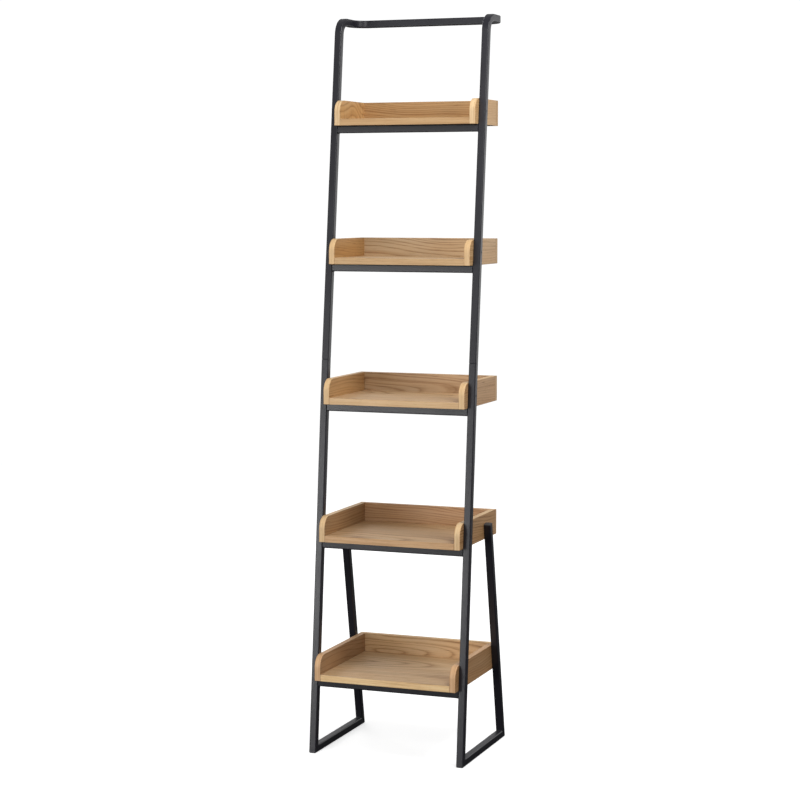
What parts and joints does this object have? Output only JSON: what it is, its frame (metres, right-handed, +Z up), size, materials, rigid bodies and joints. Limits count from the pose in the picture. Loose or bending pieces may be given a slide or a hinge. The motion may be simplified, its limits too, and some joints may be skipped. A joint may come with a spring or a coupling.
{
  "type": "ladder shelf",
  "caption": "Tall narrow shelf: open-fronted wooden trays between leaning square-tube uprights bent at the top into a handle, braced by rear legs on floor rails.",
  "frame": {"origin": "on the floor, under the middle of the shelf's bounding box", "axes": "+X to the shelf's right as seen from the front, -Y to the front, +Y to the wall side, +Z up"},
  "size_m": [0.4, 0.3326, 1.8],
  "materials": {
    "powder_coat": "black powder coat, satin, with a fine even texture",
    "cap_plastic": "moulded black plastic, satin",
    "sleeve_steel": "plain drawn steel, hidden inside the tubes",
    "black_screw": "black screws with flush heads",
    "zinc_screw": "zinc-plated screws",
    "oak_veneer": "light oak veneer with paler edges, clear matt lacquer",
    "beech_dowel": "plain beech"
  },
  "bodies": {
    "root": {"upper_frame": "powder_coat", "left_joint_sleeve": "sleeve_steel", "right_joint_sleeve": "sleeve_steel", "left_front_leg": "powder_coat", "right_front_leg": "powder_coat", "left_base_rail": "powder_coat", "right_base_rail": "powder_coat", "left_rear_leg": "powder_coat", "right_rear_leg": "powder_coat", "left_leg_cap": "cap_plastic", "right_leg_cap": "cap_plastic", "cross_rail_1": "powder_coat", "cross_rail_2": "powder_coat", "cross_rail_3": "powder_coat", "cross_rail_4": "powder_coat", "cross_rail_5": "powder_coat", "tray_1_floor": "oak_veneer", "tray_2_floor": "oak_veneer", "tray_3_floor": "oak_veneer", "tray_4_floor": "oak_veneer", "tray_5_floor": "oak_veneer", "tray_1_back": "oak_veneer", "tray_2_back": "oak_veneer", "tray_3_back": "oak_veneer", "tray_4_back": "oak_veneer", "tray_5_back": "oak_veneer", "tray_1_left_side": "oak_veneer", "tray_1_right_side": "oak_veneer", "tray_2_left_side": "oak_veneer", "tray_2_right_side": "oak_veneer", "tray_3_left_side": "oak_veneer", "tray_3_right_side": "oak_veneer", "tray_4_left_side": "oak_veneer", "tray_4_right_side": "oak_veneer", "tray_5_left_side": "oak_veneer", "tray_5_right_side": "oak_veneer", "rail_screws": "zinc_screw", "upright_screws": "black_screw", "rear_leg_screws": "black_screw", "joint_screws": "black_screw", "tray_dowels": "beech_dowel"}
  },
  "joints": []
}
